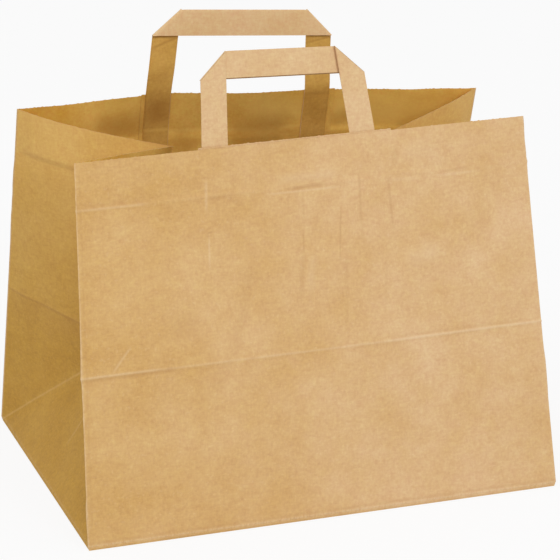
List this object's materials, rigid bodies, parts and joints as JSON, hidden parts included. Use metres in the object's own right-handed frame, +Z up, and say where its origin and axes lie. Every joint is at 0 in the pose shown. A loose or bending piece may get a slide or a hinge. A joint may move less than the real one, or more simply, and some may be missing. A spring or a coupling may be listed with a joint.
{
  "type": "paper carrier bag",
  "caption": "Free-standing brown kraft paper carrier bag with a block bottom, folded side gussets and flat folded paper handles glued inside the rim.",
  "frame": {"origin": "middle of the rectangular base, on the surface that the bag stands on", "axes": "+X along the wide front and back panels, -Y towards the front panel, +Z up"},
  "size_m": [0.3199, 0.2188, 0.297],
  "materials": {
    "kraft_outside": "matt brown kraft paper",
    "kraft_tape": "matt brown kraft paper, several layers",
    "kraft_patch": "matt brown kraft paper"
  },
  "bodies": {
    "root": {"bag_body": "kraft_outside", "front_handle": "kraft_tape", "back_handle": "kraft_tape", "front_handle_patch": "kraft_patch", "back_handle_patch": "kraft_patch"}
  },
  "joints": []
}
